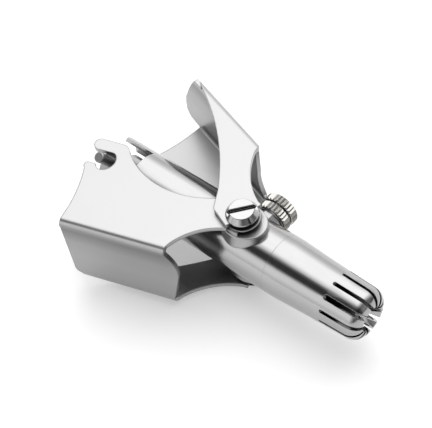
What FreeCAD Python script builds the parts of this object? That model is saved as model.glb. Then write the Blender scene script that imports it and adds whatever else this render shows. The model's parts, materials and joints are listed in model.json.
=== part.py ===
import FreeCAD, Part

# Hand-squeezed nose-hair trimmer in stainless sheet and tube, all sizes in millimetres.
#
# Modelling frame: origin where the lever pivot crosses the tube's axis; +X along the tube towards
# the cutting head; +Z along the pivot, square to the lever side plates; +Y towards the thumb
# lever and the thumb screw. Every part is moved at the end so that the origin of the finished
# object is at the middle of the bottom of its bounding box, with the same axes.
# Angles round the tube are measured from +Z towards +Y.
import math
import os

Vector = FreeCAD.Vector
ORIGIN = Vector(0, 0, 0)
X_AXIS = Vector(1, 0, 0)
Y_AXIS = Vector(0, 1, 0)
Z_AXIS = Vector(0, 0, 1)

# ---- tube and cutting head
TUBE_R = 6.0
TUBE_WALL = 0.8
TUBE_REAR_X = -33.9
SEAM_X = 8.0
SPIGOT_LENGTH = 2.6
SPIGOT_R = 5.6
TAPER_START_X = 10.0
DOME_START_X = 26.25
DOME_R = 5.25
DOME_EDGE_R = 2.5
DISH_DEPTH = 1.9
TIP_X = DOME_START_X + DOME_EDGE_R
RUNNING_GAP = 0.07

# ---- slots of the head
SLOT_WIDTH = 0.72
GAP_WIDTH = 1.0
SLOT_START_X = 21.2
SLOT_PITCH = 30.0
GAP_ANGLE = -36.0
SLOT_MEET = 1.2
INNER_SLOT_EXTRA = 0.25

# ---- rear fork of the tube, and of the cutter inside it
FORK_FRONT_X = -26.5
PRONG_FROM = 38.5
PRONG_TO = 103.0
PRONG_CORNER_R = 0.7
CUTTER_REAR_X = -34.3
CUTTER_WALL = 0.72
CUTTER_FORK_FRONT_X = -23.8
CUTTER_PRONG_HALF = 39.0
CUTTER_STEP_X = 6.5

# ---- crank pin
PIN_X = -31.9
PIN_R = 1.05
PIN_LENGTH = 20.8
PIN_REST_ANGLE = -30.0
CUTTER_TRAVEL = 56.0
PIN_CHAMFER = 0.15

# ---- levers, bent from sheet
SHEET = 0.9
BEND_R = 1.4
HOOK_PLATE_Z = 8.2
PLAIN_PLATE_Z = 9.42
WEB_FRONT = Vector(-7.7, -14.4, 0)
WEB_REAR = Vector(-28.0, -20.7, 0)
THUMB_WEB_OUTSET = 0.25
THUMB_HOOK_REAR = 3.4

# ---- pivots
SHANK_R = 1.5
PIVOT_GAP = 0.05
SCREW_HEAD_R = 3.1
SCREW_TOP_R = 2.45
SCREW_HEAD_HEIGHT = 1.4
SCREW_RIM = 0.28
SCREW_SLOT_WIDTH = 1.0
SCREW_SLOT_DEPTH = 0.8
SCREW_SLOT_ANGLE = 50.0
SCREW_SEAT_GAP = 0.03
BOSS_R = 3.95
BOSS_FOOT_R = 4.5
BOSS_STRETCH = 1.22
BOSS_TOP_Z = 7.28
BOSS_FLARE_Z = 6.7
BOSS_FOOT_Z = 3.4
WASHER_R = 3.3
WASHER_THICKNESS = 0.26

# ---- thumb screw
KNURL_COUNT = 28
KNURL_DEPTH = 0.34
BAND_BEVEL = 0.3
BAND_1 = (6.9, 8.6, 3.55)
BAND_2 = (8.95, 10.7, 3.6)
NECK_R = 2.9
THUMB_SHANK_R = 1.0
THUMB_SHANK_END = 3.0
THUMB_BOSS_R = 2.7
THUMB_BOSS_FLATS = 10
THUMB_BOSS_TOP = 6.65
THUMB_WASHER_R = 3.0

# ---- return spring, a torsion coil inside the cutter, held by the tip of the thumb screw
WIRE_R = 0.25
COIL_R = 3.7
COIL_PITCH = 0.8
COIL_TURNS = 4.5
COIL_START_X = 1.75
SPRING_CLEARANCE = 0.05
SPRING_FOOT_R = 4.95
# Angle round the tube at which the coil starts, with its leg against the side of the screw's tip.
SPRING_START_ANGLE = 90 - math.degrees(math.asin((THUMB_SHANK_R + WIRE_R + SPRING_CLEARANCE) / COIL_R))
SPRING_END_ANGLE = SPRING_START_ANGLE + 360 * COIL_TURNS
SPRING_END_X = COIL_START_X + COIL_PITCH * COIL_TURNS

LONG = 60.0


def around(angle, radius, x=0.0):
    """A point at an angle round the tube, measured from +Z towards +Y."""
    a = math.radians(angle)
    return Vector(x, radius * math.sin(a), radius * math.cos(a))


def outline(start, *steps):
    """A closed wire: a one-point step is a line, a two-point step an arc through the first."""
    edges = []
    here = Vector(*start)
    for step in steps:
        points = [Vector(*p) for p in step]
        if len(points) == 1:
            edges.append(Part.LineSegment(here, points[0]).toShape())
        else:
            edges.append(Part.Arc(here, points[0], points[1]).toShape())
        here = points[-1]
    if here.distanceToPoint(Vector(*start)) > 1e-6:
        edges.append(Part.LineSegment(here, Vector(*start)).toShape())
    return Part.Wire(edges)


def flat(*steps):
    """Steps given as x, y pairs, laid in the plane z = 0."""
    return [[(p[0], p[1], 0) for p in step] for step in steps]


def prism(wire, low, high, direction=Z_AXIS):
    """A closed wire extruded from low to high along a direction."""
    face = Part.Face(wire)
    face.translate(direction * low)
    return face.extrude(direction * (high - low))


def turned(steps):
    """A profile of x, r pairs turned round the X axis."""
    wire = outline((steps[0][0][0], steps[0][0][1], 0), *flat(*steps[1:]))
    return Part.Face(wire).revolve(ORIGIN, X_AXIS, 360)


def rod(start, end, radius):
    """A round bar between two points."""
    length = end.sub(start)
    return Part.makeCylinder(radius, length.Length, start, length)


def sector(x_low, x_high, angle_low, angle_high, radius=12.0):
    """A wedge with its sharp edge on the tube's axis; it spans less than 180 degrees."""
    middle = (angle_low + angle_high) / 2
    points = [Vector(x_low, 0, 0)]
    for angle in (angle_low, middle, angle_high):
        points.append(around(angle, radius, x_low))
    points.append(points[0])
    return Part.Face(Part.makePolygon(points)).extrude(Vector(x_high - x_low, 0, 0))


# ---------------------------------------------------------------- slots shared by head and cutter
def slot_blade(outer, inner, width):
    """A saw cut square to the dome from the rim to the point where its group of slots meets."""
    run = inner.sub(outer)
    along = Vector(run).normalize()
    side = along.cross(X_AXIS) * (width / 2)
    base = outer.sub(along * 2)
    end = inner
    corners = [base.add(side), end.add(side), end.sub(side), base.sub(side)]
    corners.append(corners[0])
    face = Part.Face(Part.makePolygon(corners))
    tool = face.extrude(Vector(TIP_X + 2 - SLOT_START_X, 0, 0))
    round_end = rod(base, inner, width / 2)
    return tool.fuse(round_end)


def slot_tools(width_extra=0.0):
    """Twelve slots: two in line make the gap across the dome, five each side meet beside it."""
    width = SLOT_WIDTH + width_extra
    gap = GAP_WIDTH + width_extra
    tools = []
    for side in (1, -1):
        meet = around(GAP_ANGLE + side * 90, SLOT_MEET, SLOT_START_X)
        for k in range(1, 6):
            rim = around(GAP_ANGLE + side * k * SLOT_PITCH, TUBE_R, SLOT_START_X)
            tools.append(slot_blade(rim, meet, width))
        rim = around(GAP_ANGLE + (90 - side * 90), TUBE_R, SLOT_START_X)
        tools.append(slot_blade(rim, Vector(SLOT_START_X, 0, 0), gap))
    return tools


def cut_slots(body, width_extra=0.0):
    """Cuts every slot through the dome and the front of the wall."""
    result = body
    for tool in slot_tools(width_extra):
        result = result.cut(tool)
    return result


def dome_profile(offset, x_rear):
    """Outline of the head's outside, or of a skin set inside it by an offset."""
    edge_r = DOME_EDGE_R - offset
    centre_r = DOME_R - DOME_EDGE_R
    slant = math.sqrt(0.5) * edge_r
    top = DOME_START_X + edge_r
    return [
        [(x_rear, TUBE_R - offset)],
        [(TAPER_START_X, TUBE_R - offset)],
        [(19.0, DOME_R + 0.27 - offset), (DOME_START_X, DOME_R - offset)],
        [(DOME_START_X + slant, centre_r + slant), (top, centre_r)],
        [(top - 0.62 * DISH_DEPTH, 0.42 * centre_r), (top - DISH_DEPTH, 0)],
        [(x_rear, 0)],
    ]


# ---------------------------------------------------------------- the fixed body
def cutter_head():
    """Tapered, domed and slotted outer head; its spigot fits inside the tube."""
    head = turned(dome_profile(0.0, SEAM_X))
    spigot = Part.makeCylinder(SPIGOT_R, SPIGOT_LENGTH, Vector(SEAM_X - SPIGOT_LENGTH, 0, 0), X_AXIS)
    head = head.fuse(spigot)
    head = head.cut(turned(dome_profile(TUBE_WALL, SEAM_X - SPIGOT_LENGTH - 1)))
    return cut_slots(head)


def prong_block(centre, half_angle, x_rear, x_front, radius, corner_r):
    """The space of one fork prong: a wedge whose rear corners are rounded."""
    half = radius * math.sin(math.radians(half_angle)) + 0.05
    near = x_rear + corner_r
    tuck = corner_r * (1 - math.sqrt(0.5))
    wire = outline(
        (x_front, half, 0),
        [(near, half, 0)],
        [(x_rear + tuck, half - tuck, 0), (x_rear, half - corner_r, 0)],
        [(x_rear, corner_r - half, 0)],
        [(x_rear + tuck, tuck - half, 0), (near, -half, 0)],
        [(x_front, -half, 0)],
    )
    block = prism(wire, 0, radius + 2)
    block.rotate(ORIGIN, X_AXIS, -centre)
    wedge = sector(x_rear - 1, x_front, centre - half_angle, centre + half_angle)
    return block.common(wedge)


def body_tube():
    """Outer tube, open at the rear between two prongs."""
    outer = Part.makeCylinder(TUBE_R, SEAM_X - TUBE_REAR_X, Vector(TUBE_REAR_X, 0, 0), X_AXIS)
    bore = Part.makeCylinder(TUBE_R - TUBE_WALL, LONG, Vector(-LONG + SEAM_X, 0, 0), X_AXIS)
    socket = Part.makeCylinder(SPIGOT_R, SPIGOT_LENGTH, Vector(SEAM_X - SPIGOT_LENGTH, 0, 0), X_AXIS)
    tube = outer.cut(bore).cut(socket)
    middle = (PRONG_FROM + PRONG_TO) / 2
    half = (PRONG_TO - PRONG_FROM) / 2
    front = Part.makeCylinder(TUBE_R + 1, LONG, Vector(FORK_FRONT_X, 0, 0), X_AXIS)
    keep = front
    for centre in (middle, middle + 180):
        keep = keep.fuse(prong_block(centre, half, TUBE_REAR_X, FORK_FRONT_X + 0.5, TUBE_R, PRONG_CORNER_R))
    tube = tube.common(keep)
    tube = tube.cut(rod(Vector(0, 0, -TUBE_R - 1), Vector(0, 0, TUBE_R + 1), SHANK_R))
    return tube.cut(rod(ORIGIN, Vector(0, TUBE_R + 1, 0), THUMB_SHANK_R + PIVOT_GAP))


def pivot_boss():
    """Flared boss brazed on the tube, longer along it than across, tapped for the pivot screw."""
    wire = outline(
        (0, 0, BOSS_FOOT_Z),
        [(BOSS_FOOT_R, 0, BOSS_FOOT_Z)],
        [(BOSS_R + 0.15, 0, 5.2), (BOSS_R, 0, BOSS_FLARE_Z)],
        [(BOSS_R, 0, BOSS_TOP_Z - 0.15)],
        [(BOSS_R - 0.15, 0, BOSS_TOP_Z)],
        [(0, 0, BOSS_TOP_Z)],
    )
    boss = Part.Face(wire).revolve(ORIGIN, Z_AXIS, 360)
    stretch = FreeCAD.Matrix()
    stretch.scale(BOSS_STRETCH, 1, 1)
    boss = boss.transformGeometry(stretch)
    boss = boss.cut(Part.makeCylinder(TUBE_R, 40, Vector(-20, 0, 0), X_AXIS))
    return boss.cut(rod(ORIGIN, Vector(0, 0, LONG), SHANK_R))


def pivot_screw():
    """Slotted screw with a bevelled head; the levers turn on its shank."""
    seat = PLAIN_PLATE_Z + SCREW_SEAT_GAP
    top = seat + SCREW_HEAD_HEIGHT
    wire = outline(
        (0, 0, 5.3),
        [(SHANK_R, 0, 5.3)],
        [(SHANK_R, 0, seat)],
        [(SCREW_HEAD_R, 0, seat)],
        [(SCREW_HEAD_R, 0, seat + SCREW_RIM)],
        [(SCREW_TOP_R, 0, top - 0.1)],
        [(SCREW_TOP_R - 0.12, 0, top)],
        [(0, 0, top)],
    )
    screw = Part.Face(wire).revolve(ORIGIN, Z_AXIS, 360)
    slot = Part.makeBox(20, SCREW_SLOT_WIDTH, 5, Vector(-10, -SCREW_SLOT_WIDTH / 2, top - SCREW_SLOT_DEPTH))
    slot.rotate(ORIGIN, Z_AXIS, SCREW_SLOT_ANGLE)
    return screw.cut(slot)


def spacer_washer():
    """Thin washer that keeps the two lever ears apart."""
    low = (HOOK_PLATE_Z + PLAIN_PLATE_Z - SHEET - WASHER_THICKNESS) / 2
    ring = Part.makeCylinder(WASHER_R, WASHER_THICKNESS, Vector(0, 0, low), Z_AXIS)
    return ring.cut(rod(ORIGIN, Vector(0, 0, LONG), SHANK_R))


def thumb_screw_boss():
    """Collar with flats that stiffens the tube wall under the thumb screw."""
    points = []
    for k in range(THUMB_BOSS_FLATS + 1):
        angle = 2 * math.pi * k / THUMB_BOSS_FLATS
        points.append(Vector(THUMB_BOSS_R * math.cos(angle), 4.5, THUMB_BOSS_R * math.sin(angle)))
    boss = Part.Face(Part.makePolygon(points)).extrude(Vector(0, THUMB_BOSS_TOP - 4.5, 0))
    boss = boss.cut(Part.makeCylinder(TUBE_R, 40, Vector(-20, 0, 0), X_AXIS))
    return boss.cut(rod(ORIGIN, Vector(0, LONG, 0), THUMB_SHANK_R + PIVOT_GAP))


def thumb_screw_washer():
    """Dished washer under the knurled head."""
    cone = Part.makeCone(THUMB_BOSS_R, THUMB_WASHER_R, BAND_1[0] - THUMB_BOSS_TOP - 0.04,
                         Vector(0, THUMB_BOSS_TOP, 0), Y_AXIS)
    return cone.cut(rod(ORIGIN, Vector(0, LONG, 0), THUMB_SHANK_R + PIVOT_GAP))


# ---------------------------------------------------------------- the thumb screw
def knurled_band(y_low, y_high, radius):
    """A straight-knurled ring with its corners broken."""
    points = []
    for k in range(2 * KNURL_COUNT + 1):
        angle = math.pi * k / KNURL_COUNT
        r = radius - KNURL_DEPTH * (k % 2)
        points.append(Vector(r * math.cos(angle), y_low, r * math.sin(angle)))
    teeth = Part.Face(Part.makePolygon(points)).extrude(Vector(0, y_high - y_low, 0))
    bevel = BAND_BEVEL
    wire = outline(
        (0, y_low, 0),
        [(radius - bevel, y_low, 0)],
        [(radius, y_low + bevel, 0)],
        [(radius, y_high - bevel, 0)],
        [(radius - bevel, y_high, 0)],
        [(0, y_high, 0)],
    )
    return teeth.common(Part.Face(wire).revolve(ORIGIN, Y_AXIS, 360))


def thumb_screw():
    """Knurled screw whose tip holds the cutter in the tube."""
    screw = rod(Vector(0, THUMB_SHANK_END, 0), Vector(0, BAND_2[1] - 0.3, 0), THUMB_SHANK_R)
    screw = screw.fuse(rod(Vector(0, BAND_1[1] - 0.2, 0), Vector(0, BAND_2[0] + 0.2, 0), NECK_R))
    for band in (BAND_1, BAND_2):
        screw = screw.fuse(knurled_band(*band))
    dish = Part.makeSphere(9.0, Vector(0, BAND_2[1] + 8.75, 0))
    return screw.cut(dish).removeSplitter()


# ---------------------------------------------------------------- the turning cutter
def inner_cutter():
    """Tube inside the head: slotted dome in front, two prongs that carry the crank pin behind."""
    outer_r = TUBE_R - TUBE_WALL - RUNNING_GAP
    inner_r = outer_r - CUTTER_WALL
    skin = TUBE_WALL + RUNNING_GAP
    body = turned(dome_profile(skin, CUTTER_STEP_X))
    rear = Part.makeCylinder(outer_r, CUTTER_STEP_X - CUTTER_REAR_X, Vector(CUTTER_REAR_X, 0, 0), X_AXIS)
    body = body.fuse(rear)
    body = body.cut(turned(dome_profile(skin + CUTTER_WALL, CUTTER_STEP_X)))
    body = body.cut(Part.makeCylinder(inner_r, LONG, Vector(CUTTER_STEP_X - LONG, 0, 0), X_AXIS))
    body = cut_slots(body, INNER_SLOT_EXTRA)
    keep = Part.makeCylinder(TUBE_R, LONG, Vector(CUTTER_FORK_FRONT_X, 0, 0), X_AXIS)
    for centre in (PIN_REST_ANGLE, PIN_REST_ANGLE + 180):
        keep = keep.fuse(prong_block(centre, CUTTER_PRONG_HALF, CUTTER_REAR_X, CUTTER_FORK_FRONT_X + 0.5,
                                     outer_r, PRONG_CORNER_R))
    body = body.common(keep)
    body = body.cut(rod(around(PIN_REST_ANGLE, -LONG, PIN_X), around(PIN_REST_ANGLE, LONG, PIN_X), PIN_R))
    tip = THUMB_SHANK_R + 0.1
    allowance = 14.0
    window = sector(-tip, tip, 90 - CUTTER_TRAVEL - allowance, 90 + allowance)
    centre = around(SPRING_END_ANGLE, 0, SPRING_END_X)
    hole = rod(centre, around(SPRING_END_ANGLE, TUBE_R, SPRING_END_X), WIRE_R + SPRING_CLEARANCE)
    return body.cut(window).cut(hole)


def crank_pin():
    """Cross pin through the cutter; its ends sit in the levers' hooks."""
    half = PIN_LENGTH / 2
    wire = outline(
        (0, 0, -half),
        [(PIN_R - PIN_CHAMFER, 0, -half)],
        [(PIN_R, 0, PIN_CHAMFER - half)],
        [(PIN_R, 0, half - PIN_CHAMFER)],
        [(PIN_R - PIN_CHAMFER, 0, half)],
        [(0, 0, half)],
    )
    pin = Part.Face(wire).revolve(ORIGIN, Z_AXIS, 360)
    pin.rotate(ORIGIN, X_AXIS, -PIN_REST_ANGLE)
    pin.translate(Vector(PIN_X, 0, 0))
    return pin


# ---------------------------------------------------------------- the levers
WEB_RUN = WEB_REAR.sub(WEB_FRONT)
WEB_LENGTH = WEB_RUN.Length
ALONG = Vector(WEB_RUN).normalize()
INWARD = Z_AXIS.cross(ALONG) * -1


def lever_point(along, inward, z):
    """A point given along the web from its front edge, inward from its outer face, and by height."""
    return WEB_FRONT.add(ALONG * along).add(INWARD * inward).add(Z_AXIS * z)


def channel(outset):
    """The bent strip before its outline is cut: a U section along the web, moved out if asked."""
    depth = 30.0
    start = -12.0
    skins = []
    for inset in (0.0, SHEET):
        top = HOOK_PLATE_Z - inset
        bottom = inset - PLAIN_PLATE_Z
        r = BEND_R - inset
        tuck = r * (1 - math.sqrt(0.5))
        corners = [
            [(depth + inset, top)],
            [(inset + r, top)],
            [(inset + tuck, top - tuck), (inset, top - r)],
            [(inset, bottom + r)],
            [(inset + tuck, bottom + tuck), (inset + r, bottom)],
            [(depth + inset, bottom)],
        ]
        steps = [[lever_point(start, p[0] - outset, p[1]) for p in step] for step in corners]
        wire = outline(tuple(steps[0][0]), *[[tuple(p) for p in step] for step in steps[1:]])
        skins.append(Part.Face(wire).extrude(ALONG * LONG))
    return skins[0].cut(skins[1])


def hook_plate_outline(rear_steps, front_steps):
    """Side plate with the ear, the neck and the hook that takes the pin."""
    steps = rear_steps + [
        [(-33.8, -7.25), (-33.3, -6.7)],
        [(-31.9, -6.35)],
        [(-30.6, -6.95), (-29.3, -6.25)],
        [(-28.8, -4.6), (-29.6, -2.9)],
        [(-30.2, -2.5), (-30.9, -2.45)],
        [(-34.1, -3.45)],
        [(-35.75, -2.45), (-34.8, -0.85)],
        [(-30.2, 0.4)],
        [(-29.1, 0.2), (-28.1, -0.55)],
        [(-26.3, -1.6)],
        [(-17.5, -3.3), (-8.5, -0.35)],
        [(-2.36, 3.04)],
        [(3.8, -0.6), (-1.1, -3.69)],
        [(-5.15, -7.15), (-7.6, -12.9)],
    ] + front_steps
    return outline((rear_steps[0][0][0] + 1.1, -23.4, 0), *flat(*steps))


def plain_plate_outline(rear_steps, front_steps):
    """Side plate without a hook, running straight from the web to the ear."""
    steps = rear_steps + [
        [(-5.6, 1.5)],
        [(-5.1, 2.15), (-4.4, 2.45)],
        [(-0.9, 3.8)],
        [(3.9, 0.1), (0.6, -3.85)],
        [(-3.9, -7.1), (-7.5, -12.8)],
    ] + front_steps
    return outline((-30.6, -23.2, 0), *flat(*steps))


WEB_TOP = HOOK_PLATE_Z - BEND_R
WEB_BOTTOM = BEND_R - PLAIN_PLATE_Z


def web_outline(steps):
    """The web's outline, given as points along the web and up the pivot."""
    points = [[tuple(lever_point(p[0], 0, p[1])) for p in step] for step in steps]
    return outline(points[0][0], *points[1:])


def lever(hook_plate, plain_plate, web, outset):
    """One lever in the finger lever's position: two side plates and the web between them."""
    strip = channel(outset)
    near = strip.common(prism(hook_plate, WEB_TOP, HOOK_PLATE_Z + 1))
    far = strip.common(prism(plain_plate, -PLAIN_PLATE_Z - 1, WEB_BOTTOM))
    web_face = Part.Face(web)
    web_face.translate(INWARD * -1)
    middle = strip.common(web_face.extrude(INWARD * 2.2))
    body = near.fuse([far, middle]).removeSplitter()
    return body.cut(rod(Vector(0, 0, -LONG), Vector(0, 0, LONG), SHANK_R + PIVOT_GAP))


def finger_lever():
    """Lever with a straight rear edge and a web that bulges forward."""
    hook_plate = hook_plate_outline(
        [[(-28.5, -19.2)], [(-30.15, -13.9), (-33.2, -8.2)]],
        [[(-7.4, -14.0)], [(-7.2, -16.6)]],
    )
    plain_plate = plain_plate_outline(
        [[(-26.8, -20.3)], [(-17.6, -13.05), (-7.3, -1.7)]],
        [[(-7.9, -16.6)]],
    )
    corner = 1.3
    web = web_outline([
        [(-0.4, WEB_TOP)],
        [(-2.2, 3.6), (-2.1, -0.4)],
        [(-1.15, -4.2), (-0.1, WEB_BOTTOM)],
        [(WEB_LENGTH - corner, WEB_BOTTOM)],
        [(WEB_LENGTH - 0.4, WEB_BOTTOM + 0.4), (WEB_LENGTH, WEB_BOTTOM + corner)],
        [(WEB_LENGTH, WEB_TOP)],
    ])
    return lever(hook_plate, plain_plate, web, 0.0)


def thumb_lever():
    """The matching lever, turned over about the tube's axis, with a rounded tongue for the thumb."""
    hook_plate = hook_plate_outline(
        [[(-31.5, -20.6)], [(-32.2, -15.6), (-33.6, -10.9)], [(-33.75, -8.2)]],
        [[(-8.5, -15.1)], [(-9.2, -16.6)]],
    )
    plain_plate = plain_plate_outline(
        [[(-27.8, -20.3)], [(-26.6, -19.4)], [(-16.7, -12.35), (-7.3, -1.6)]],
        [[(-7.6, -13.9)], [(-8.5, -15.1)], [(-9.4, -16.6)]],
    )
    rear = WEB_LENGTH + THUMB_HOOK_REAR
    web = web_outline([
        [(0.9, WEB_TOP)],
        [(1.95, 4.0), (1.75, 0.3)],
        [(1.4, -3.8), (1.0, WEB_BOTTOM)],
        [(23.2, WEB_BOTTOM)],
        [(25.75, -4.3), (28.1, -0.1)],
        [(rear, -0.1)],
        [(rear, WEB_TOP)],
    ])
    tongue = Part.Face(web_outline([
        [(rear - 0.3, -0.1)],
        [(28.1, -0.1)],
        [(29.4, 2.8), (29.75, 5.4)],
        [(29.4, 7.1), (28.0, 7.85)],
        [(rear, HOOK_PLATE_Z)],
        [(rear, WEB_TOP)],
        [(rear - 0.3, WEB_TOP)],
    ]))
    tongue.translate(INWARD * -THUMB_WEB_OUTSET)
    body = lever(hook_plate, plain_plate, web, THUMB_WEB_OUTSET)
    body = body.fuse(tongue.extrude(INWARD * SHEET)).removeSplitter()
    body.rotate(ORIGIN, X_AXIS, 180)
    return body


# ---------------------------------------------------------------- the return spring
def return_spring():
    """Torsion coil: one leg runs back beside the thumb screw's tip, the other into the cutter."""
    height = COIL_PITCH * COIL_TURNS
    helix = Part.makeHelix(COIL_PITCH, height, COIL_R)
    section = Part.Wire(Part.Edge(Part.Circle(Vector(COIL_R, 0, 0), Y_AXIS, WIRE_R)))
    coil = Part.Wire(helix).makePipeShell([section], True, True)
    turn = 2 * math.pi * COIL_TURNS
    outward = Vector(math.cos(turn), math.sin(turn), 0)
    start = Vector(COIL_R, 0, 0)
    end = Vector(0, 0, height).add(outward * COIL_R)
    hook = start.sub(Z_AXIS * (COIL_START_X + THUMB_SHANK_R / 2))
    foot = Vector(0, 0, height).add(outward * SPRING_FOOT_R)
    corners = [Part.makeSphere(WIRE_R, start), Part.makeSphere(WIRE_R, end)]
    wire = coil.fuse(corners + [rod(start, hook, WIRE_R), rod(end, foot, WIRE_R)])
    wire.rotate(ORIGIN, Y_AXIS, 90)
    wire = wire.mirror(ORIGIN, Y_AXIS)
    wire.rotate(ORIGIN, X_AXIS, 180 - SPRING_START_ANGLE)
    wire.translate(Vector(COIL_START_X, 0, 0))
    return wire


def far_side(shape):
    """The same piece turned over to the far side of the tube."""
    copy = shape.copy()
    copy.rotate(ORIGIN, X_AXIS, 180)
    return copy


def build():
    boss = pivot_boss()
    screw = pivot_screw()
    washer = spacer_washer()
    return {
        "body_tube": body_tube(),
        "cutter_head": cutter_head(),
        "near_pivot_boss": boss,
        "far_pivot_boss": far_side(boss),
        "near_pivot_screw": screw,
        "far_pivot_screw": far_side(screw),
        "near_spacer_washer": washer,
        "far_spacer_washer": far_side(washer),
        "thumb_screw_boss": thumb_screw_boss(),
        "thumb_screw_washer": thumb_screw_washer(),
        "thumb_screw": thumb_screw(),
        "inner_cutter": inner_cutter(),
        "crank_pin": crank_pin(),
        "finger_lever": finger_lever(),
        "thumb_lever": thumb_lever(),
        "return_spring": return_spring(),
    }


parts = build()
box = Part.makeCompound(list(parts.values())).optimalBoundingBox(True, False)
shift = Vector(-(box.XMin + box.XMax) / 2, -(box.YMin + box.YMax) / 2, -box.ZMin)
os.makedirs("parts", exist_ok=True)
for name, shape in parts.items():
    shape.translate(shift)
    shape.exportStep("parts/" + name + ".step")
    state = "valid" if shape.isValid() else "NOT VALID"
    print(name, state, len(shape.Solids), "solid", round(shape.Volume, 2), "mm3")
print("pivot axis crosses the tube axis at", [round(c, 4) for c in shift])
print("overall size", round(box.XLength, 2), round(box.YLength, 2), round(box.ZLength, 2))
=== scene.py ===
import json
import math

import bpy
from mathutils import Matrix, Vector


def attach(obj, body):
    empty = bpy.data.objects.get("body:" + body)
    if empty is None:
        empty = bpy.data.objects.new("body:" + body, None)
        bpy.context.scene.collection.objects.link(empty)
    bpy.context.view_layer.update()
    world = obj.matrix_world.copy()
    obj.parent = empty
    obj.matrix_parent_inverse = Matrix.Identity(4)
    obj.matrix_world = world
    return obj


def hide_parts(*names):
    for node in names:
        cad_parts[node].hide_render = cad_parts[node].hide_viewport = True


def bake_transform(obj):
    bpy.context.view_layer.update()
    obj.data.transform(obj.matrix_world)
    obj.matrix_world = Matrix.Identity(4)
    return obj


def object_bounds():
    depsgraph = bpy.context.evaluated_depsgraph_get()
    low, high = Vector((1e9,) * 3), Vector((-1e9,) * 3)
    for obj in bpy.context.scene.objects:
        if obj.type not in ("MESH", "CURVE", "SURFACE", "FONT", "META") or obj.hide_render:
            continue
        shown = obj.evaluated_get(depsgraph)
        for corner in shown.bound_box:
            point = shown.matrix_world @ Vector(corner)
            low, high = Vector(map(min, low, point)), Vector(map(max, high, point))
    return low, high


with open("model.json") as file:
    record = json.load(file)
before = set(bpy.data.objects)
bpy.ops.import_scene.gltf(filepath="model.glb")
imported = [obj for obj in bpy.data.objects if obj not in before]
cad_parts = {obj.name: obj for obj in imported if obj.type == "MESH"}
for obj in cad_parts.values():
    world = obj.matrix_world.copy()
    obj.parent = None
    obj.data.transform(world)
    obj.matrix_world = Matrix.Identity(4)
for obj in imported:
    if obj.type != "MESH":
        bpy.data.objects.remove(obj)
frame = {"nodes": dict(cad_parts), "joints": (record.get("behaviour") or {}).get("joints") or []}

MM = 0.001
CAD_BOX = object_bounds()
PIVOT = Vector(next(j for j in frame["joints"] if j["name"] == "finger_squeeze")["pos_m"])

# ---- the cutter's front: where it starts ahead of the pivot, and how far it is drawn in
CUTTER_FRONT = 7 * MM
CUTTER_EASE = 0.992

# ---- the camera, as angles about the lever pivot and offsets of the pivot from the view's middle
AZIMUTH = math.radians(50.4)
ELEVATION = math.radians(52.3)
ROLL = math.radians(-12.5)
DISTANCE = 0.2486
PIVOT_RIGHT = 0.00604
PIVOT_UP = -0.00557
LENS_MM = 110.3
SENSOR_MM = 36.0
CLIP_START = 0.01

# ---- the studio: brightness by the angle round the tube, from straight up towards +Y
STUDIO_ROUND = [
    (-180, 0.30), (-97, 0.60), (-86, 1.10), (-72, 1.50), (-56, 1.45), (-50, 0.60), (-45, 0.05),
    (-24, 0.05), (-17, 0.50), (-9, 1.60), (0, 2.30), (50, 2.30), (70, 1.25), (95, 0.90),
    (180, 0.30),
]
# ---- and the share of it that is left towards the tube's two ends, from -X to +X
STUDIO_ALONG = [
    (-1.0, 0.10), (-0.84, 0.15), (-0.70, 0.85), (-0.62, 1.0), (0.15, 1.0), (0.40, 0.50),
    (0.62, 0.12), (1.0, 0.20),
]

# ---- the floor
FLOOR_HALF = 3.0
FLOOR_GAP = 0.02 * MM
FLOOR_TONE = 0.78
FLOOR_ROUGHNESS = 0.35
FLOOR_SPECULAR = 0.3
FLOOR_GLOW = 0.36

# ---- the steel: the scales of its noise, and the spread of its tone and roughness
GRAIN_SCALE = 4.0
CLOUD_SCALE = 140.0
TONE_LOW = 0.3
TONE_HIGH = 0.7
SMOOTHER = 0.8
ROUGHER = 1.25
GRAIN_HEIGHT = 0.01 * MM
# ---- edges: the cosines between the rounded and the flat normal where the edge mark starts and is full; the mark is lighter wear, and painted shade on the sheet
EDGE_START = 0.99
EDGE_FULL = 0.80
EDGE_SHARE = 0.8
# ---- nooks, painted shade: the open share of the sky below which a spot gets the full painted shade, and above which none
NOOK_FULL_SHADE = 0.10
NOOK_NO_SHADE = 0.75
# ---- painted shade on the levers' webs, by height above the floor: darkest under the near bend
HEIGHT = 22 * MM
WEB_PAINTED_SHADE = [
    (0.0, 1.0), (2.4 * MM, 1.0), (3.2 * MM, 0.85), (9.0 * MM, 0.85), (13.5 * MM, 0.75),
    (17.0 * MM, 0.45), (17.9 * MM, 0.60), (18.7 * MM, 1.0), (HEIGHT, 1.0),
]


# ------------------------------------------------------------------ camera, studio and floor
def add_camera():
    """Looks at the pivot from the azimuth and elevation, rolled about the line of sight."""
    side = Vector((math.cos(AZIMUTH), math.sin(AZIMUTH), 0))
    level = Vector((math.sin(AZIMUTH), -math.cos(AZIMUTH), 0))
    back = level * math.cos(ELEVATION) + Vector((0, 0, math.sin(ELEVATION)))
    lift = back.cross(side)
    right = side * math.cos(ROLL) + lift * math.sin(ROLL)
    up = lift * math.cos(ROLL) - side * math.sin(ROLL)
    data = bpy.data.cameras.new("camera")
    data.lens = LENS_MM
    data.sensor_width = SENSOR_MM
    data.clip_start = CLIP_START
    camera = bpy.data.objects.new("camera", data)
    place = PIVOT + back * DISTANCE - right * PIVOT_RIGHT - up * PIVOT_UP
    axes = Matrix((right, up, back)).transposed().to_4x4()
    camera.matrix_world = Matrix.Translation(place) @ axes
    bpy.context.scene.collection.objects.link(camera)
    bpy.context.scene.camera = camera


def node(tree, kind, inputs=None, **settings):
    """A shader node with its settings and its unlinked inputs."""
    made = tree.nodes.new(kind)
    for key, value in settings.items():
        setattr(made, key, value)
    for key, value in (inputs or {}).items():
        made.inputs[key].default_value = value
    return made


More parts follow.
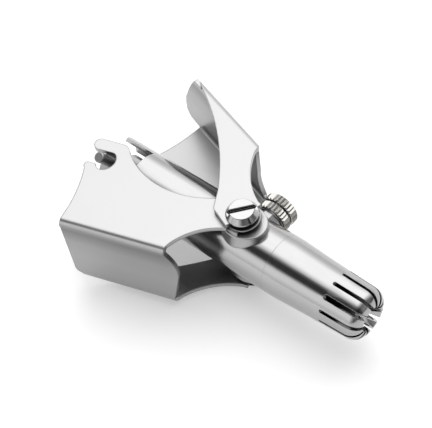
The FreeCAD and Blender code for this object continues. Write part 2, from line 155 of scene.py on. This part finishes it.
def fill_ramp(ramp, stops):
    """Sets a colour ramp's stops to grey values or colours."""
    while len(ramp.elements) > 1:
        ramp.elements.remove(ramp.elements[-1])
    for k, (place, value) in enumerate(stops):
        stop = ramp.elements[0] if k == 0 else ramp.elements.new(place)
        stop.position = place
        colour = value if isinstance(value, tuple) else (value, value, value)
        stop.color = (*colour, 1)


def ramp_of(tree, value, stops, low, high):
    """A grey ramp over a value that runs from low to high; returns its colour and its peak."""
    share = node(tree, "ShaderNodeMapRange", {"From Min": low, "From Max": high})
    ramp = node(tree, "ShaderNodeValToRGB")
    peak = max(level for _, level in stops)
    fill_ramp(ramp.color_ramp, [((at - low) / (high - low), level / peak) for at, level in stops])
    tree.links.new(value, share.inputs["Value"])
    tree.links.new(share.outputs["Result"], ramp.inputs["Fac"])
    return ramp.outputs["Color"], peak


def multiplied(tree, first, second):
    """The product of two colours."""
    mix = node(tree, "ShaderNodeMix", {"Factor": 1.0}, data_type="RGBA", blend_type="MULTIPLY")
    tree.links.new(first, mix.inputs["A"])
    tree.links.new(second, mix.inputs["B"])
    return mix.outputs["Result"]


def add_studio():
    """Soft boxes that run along the tube with a dark gap between them, and dark ends."""
    world = bpy.data.worlds.new("studio")
    bpy.context.scene.world = world
    world.use_nodes = True
    tree = world.node_tree
    tree.nodes.clear()
    link = tree.links.new
    where = node(tree, "ShaderNodeTexCoord")
    split = node(tree, "ShaderNodeSeparateXYZ")
    angle = node(tree, "ShaderNodeMath", operation="ARCTAN2")
    degrees = node(tree, "ShaderNodeMath", {1: 180 / math.pi}, operation="MULTIPLY")
    link(where.outputs["Generated"], split.inputs["Vector"])
    link(split.outputs["Y"], angle.inputs[0])
    link(split.outputs["Z"], angle.inputs[1])
    link(angle.outputs["Value"], degrees.inputs[0])
    colour, peak = ramp_of(tree, degrees.outputs["Value"], STUDIO_ROUND, -180, 180)
    fade, _ = ramp_of(tree, split.outputs["X"], STUDIO_ALONG, -1, 1)
    light = node(tree, "ShaderNodeBackground", {"Strength": peak})
    out = node(tree, "ShaderNodeOutputWorld")
    link(multiplied(tree, colour, fade), light.inputs["Color"])
    link(light.outputs["Background"], out.inputs["Surface"])


def add_floor():
    """A plain white floor just under the lowest screw head."""
    mesh = bpy.data.meshes.new("floor")
    low = CAD_BOX[0][2] - FLOOR_GAP
    turns = [(-1, -1), (1, -1), (1, 1), (-1, 1)]
    mesh.from_pydata([(x * FLOOR_HALF, y * FLOOR_HALF, low) for x, y in turns], [], [(0, 1, 2, 3)])
    floor = bpy.data.objects.new("floor", mesh)
    bpy.context.scene.collection.objects.link(floor)
    material = bpy.data.materials.new("white_floor")
    material.use_nodes = True
    shader = material.node_tree.nodes["Principled BSDF"]
    shader.inputs["Base Color"].default_value = (FLOOR_TONE, FLOOR_TONE, FLOOR_TONE, 1)
    shader.inputs["Roughness"].default_value = FLOOR_ROUGHNESS
    shader.inputs["Specular IOR Level"].default_value = FLOOR_SPECULAR
    shader.inputs["Emission Color"].default_value = (1, 1, 1, 1)
    shader.inputs["Emission Strength"].default_value = FLOOR_GLOW
    mesh.materials.append(material)


# ------------------------------------------------------------------ materials
def steel(name, base, rough, grain, grain_depth, mottle=0.04, edge=0.2 * MM, edge_tone=1.2,
          nook_shade_reach=2 * MM, nook_shade_tone=0.45, tint=(1.0, 1.0, 1.0), height_shade=None):
    """Bare steel: grain lines, uneven tone and roughness, rounded edges tinted by edge_tone
    (lighter wear above 1, painted shade below 1), painted shade in nooks and by height.
    """
    material = bpy.data.materials.new(name)
    material.use_nodes = True
    tree = material.node_tree
    link = tree.links.new
    shader = tree.nodes["Principled BSDF"]
    shader.inputs["Metallic"].default_value = 1.0
    where = node(tree, "ShaderNodeTexCoord")

    stretch = node(tree, "ShaderNodeMapping", {"Scale": grain})
    link(where.outputs["Object"], stretch.inputs["Vector"])
    line = {"Scale": GRAIN_SCALE, "Detail": 4.0, "Roughness": 0.6}
    lines = node(tree, "ShaderNodeTexNoise", line)
    link(stretch.outputs["Vector"], lines.inputs["Vector"])

    cloud = {"Scale": CLOUD_SCALE, "Detail": 3.0, "Roughness": 0.5}
    clouds = node(tree, "ShaderNodeTexNoise", cloud)
    link(where.outputs["Object"], clouds.inputs["Vector"])

    tone = node(tree, "ShaderNodeMath", {1: 0.5}, operation="MULTIPLY")
    link(lines.outputs["Fac"], tone.inputs[0])
    both = node(tree, "ShaderNodeMath", {1: 0.5}, operation="MULTIPLY_ADD")
    link(clouds.outputs["Fac"], both.inputs[0])
    link(tone.outputs["Value"], both.inputs[2])
    ramp = node(tree, "ShaderNodeValToRGB")
    low = tuple(base * (1 - mottle) * t for t in tint)
    high = tuple(min(1.0, base * (1 + mottle)) * t for t in tint)
    fill_ramp(ramp.color_ramp, [(TONE_LOW, low), (TONE_HIGH, high)])
    link(both.outputs["Value"], ramp.inputs["Fac"])

    # rounded edges: colour moved towards base times edge_tone, lighter wear above 1 and painted
    # shade below 1
    rounded = node(tree, "ShaderNodeBevel", {"Radius": edge}, samples=6)
    shape = node(tree, "ShaderNodeNewGeometry")
    turn = node(tree, "ShaderNodeVectorMath", operation="DOT_PRODUCT")
    link(rounded.outputs["Normal"], turn.inputs[0])
    link(shape.outputs["Normal"], turn.inputs[1])
    span = {"From Min": EDGE_START, "From Max": EDGE_FULL, "To Min": 0.0, "To Max": EDGE_SHARE}
    edge_mark = node(tree, "ShaderNodeMapRange", span)
    link(turn.outputs["Value"], edge_mark.inputs["Value"])
    edge_mark_tone = (*(min(1.0, base * edge_tone),) * 3, 1)
    wear_and_edge_shade = node(tree, "ShaderNodeMix", {"B": edge_mark_tone}, data_type="RGBA")
    link(edge_mark.outputs["Result"], wear_and_edge_shade.inputs["Factor"])
    link(ramp.outputs["Color"], wear_and_edge_shade.inputs["A"])

    # painted shade: base colour darkened where little sky is open, in nooks and between parts
    nook = node(tree, "ShaderNodeAmbientOcclusion", {"Distance": nook_shade_reach}, samples=8)
    span = {"From Min": NOOK_FULL_SHADE, "From Max": NOOK_NO_SHADE, "To Min": nook_shade_tone}
    depth = node(tree, "ShaderNodeMapRange", span)
    link(nook.outputs["AO"], depth.inputs["Value"])
    colour = multiplied(tree, wear_and_edge_shade.outputs["Result"], depth.outputs["Result"])
    # painted shade by height above the floor: darkens the levers' webs under the near bend
    if height_shade:
        height = node(tree, "ShaderNodeSeparateXYZ")
        link(where.outputs["Object"], height.inputs["Vector"])
        band, _ = ramp_of(tree, height.outputs["Z"], height_shade, 0.0, HEIGHT)
        colour = multiplied(tree, colour, band)
    link(colour, shader.inputs["Base Color"])

    span = {"To Min": rough * SMOOTHER, "To Max": rough * ROUGHER}
    spread = node(tree, "ShaderNodeMapRange", span)
    link(both.outputs["Value"], spread.inputs["Value"])
    link(spread.outputs["Result"], shader.inputs["Roughness"])

    bump = node(tree, "ShaderNodeBump", {"Strength": grain_depth, "Distance": GRAIN_HEIGHT})
    link(lines.outputs["Fac"], bump.inputs["Height"])
    link(rounded.outputs["Normal"], bump.inputs["Normal"])
    link(bump.outputs["Normal"], shader.inputs["Normal"])
    return material


def dress(names, material):
    """Gives CAD nodes a material."""
    for name in names:
        mesh = frame["nodes"][name].data
        mesh.materials.clear()
        mesh.materials.append(material)


def dress_all():
    """Makes each steel, as its tone, roughness, grain and grain depth, and puts it on its nodes."""
    along = (60, 1500, 1500)
    tube = steel("brushed_tube", 0.39, 0.16, along, 0.30, edge=0.12 * MM, nook_shade_reach=6 * MM,
                 nook_shade_tone=0.3)
    # the sheet: painted shade on its edges, in its nooks and on its webs by height
    sheet = steel("satin_sheet", 0.43, 0.34, (500, 500, 500), 0.08, mottle=0.02, edge=0.3 * MM,
                  edge_tone=0.55, nook_shade_reach=10 * MM, height_shade=WEB_PAINTED_SHADE)
    boss = steel("satin_boss", 0.43, 0.34, (900, 900, 120), 0.25)
    screw = steel("polished_screw", 0.42, 0.10, (400, 400, 400), 0.10, edge=0.1 * MM)
    knurl = steel("knurled_nickel", 0.46, 0.20, (700, 200, 700), 0.25, edge=0.1 * MM,
                  tint=(1.0, 0.98, 0.93))
    cutter = steel("cutter_steel", 0.30, 0.30, along, 0.3, nook_shade_reach=6 * MM, nook_shade_tone=0.3)
    pin = steel("pin_steel", 0.36, 0.45, (600, 600, 600), 0.5)
    plain = steel("washer_steel", 0.40, 0.3, (500, 500, 500), 0.2)
    wire = steel("spring_wire", 0.40, 0.25, (200, 900, 900), 0.2)
    dress(["body_tube", "cutter_head"], tube)
    dress(["finger_lever", "thumb_lever"], sheet)
    dress(["near_pivot_boss", "far_pivot_boss", "thumb_screw_boss"], boss)
    dress(["near_pivot_screw", "far_pivot_screw"], screw)
    dress(["thumb_screw"], knurl)
    dress(["inner_cutter"], cutter)
    dress(["crank_pin"], pin)
    dress(["near_spacer_washer", "far_spacer_washer", "thumb_screw_washer"], plain)
    dress(["return_spring"], wire)


# ------------------------------------------------------------------ the return spring
def wind_spring():
    """Copies the coil into an object of its own, in place, and hides the CAD spring."""
    coil = bpy.data.objects.new("wound_spring", frame["nodes"]["return_spring"].data.copy())
    bpy.context.scene.collection.objects.link(coil)
    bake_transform(coil)
    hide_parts("return_spring")


# ------------------------------------------------------------------ the cutter's running gap
def ease_cutter():
    """The cutter with its front a hair slimmer, so that its facets clear the head's as it turns."""
    cutter = bpy.data.objects.new("turning_cutter", frame["nodes"]["inner_cutter"].data.copy())
    bpy.context.scene.collection.objects.link(cutter)
    start = PIVOT.x + CUTTER_FRONT
    for vertex in cutter.data.vertices:
        ahead = vertex.co.x - start
        if ahead > 0:
            vertex.co.x = start + ahead * CUTTER_EASE
            vertex.co.y = PIVOT.y + (vertex.co.y - PIVOT.y) * CUTTER_EASE
            vertex.co.z = PIVOT.z + (vertex.co.z - PIVOT.z) * CUTTER_EASE
    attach(cutter, "cutter")
    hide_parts("inner_cutter")


def main():
    add_camera()
    add_studio()
    add_floor()
    dress_all()
    wind_spring()
    ease_cutter()
    bpy.context.scene.view_settings.view_transform = "Standard"


main()
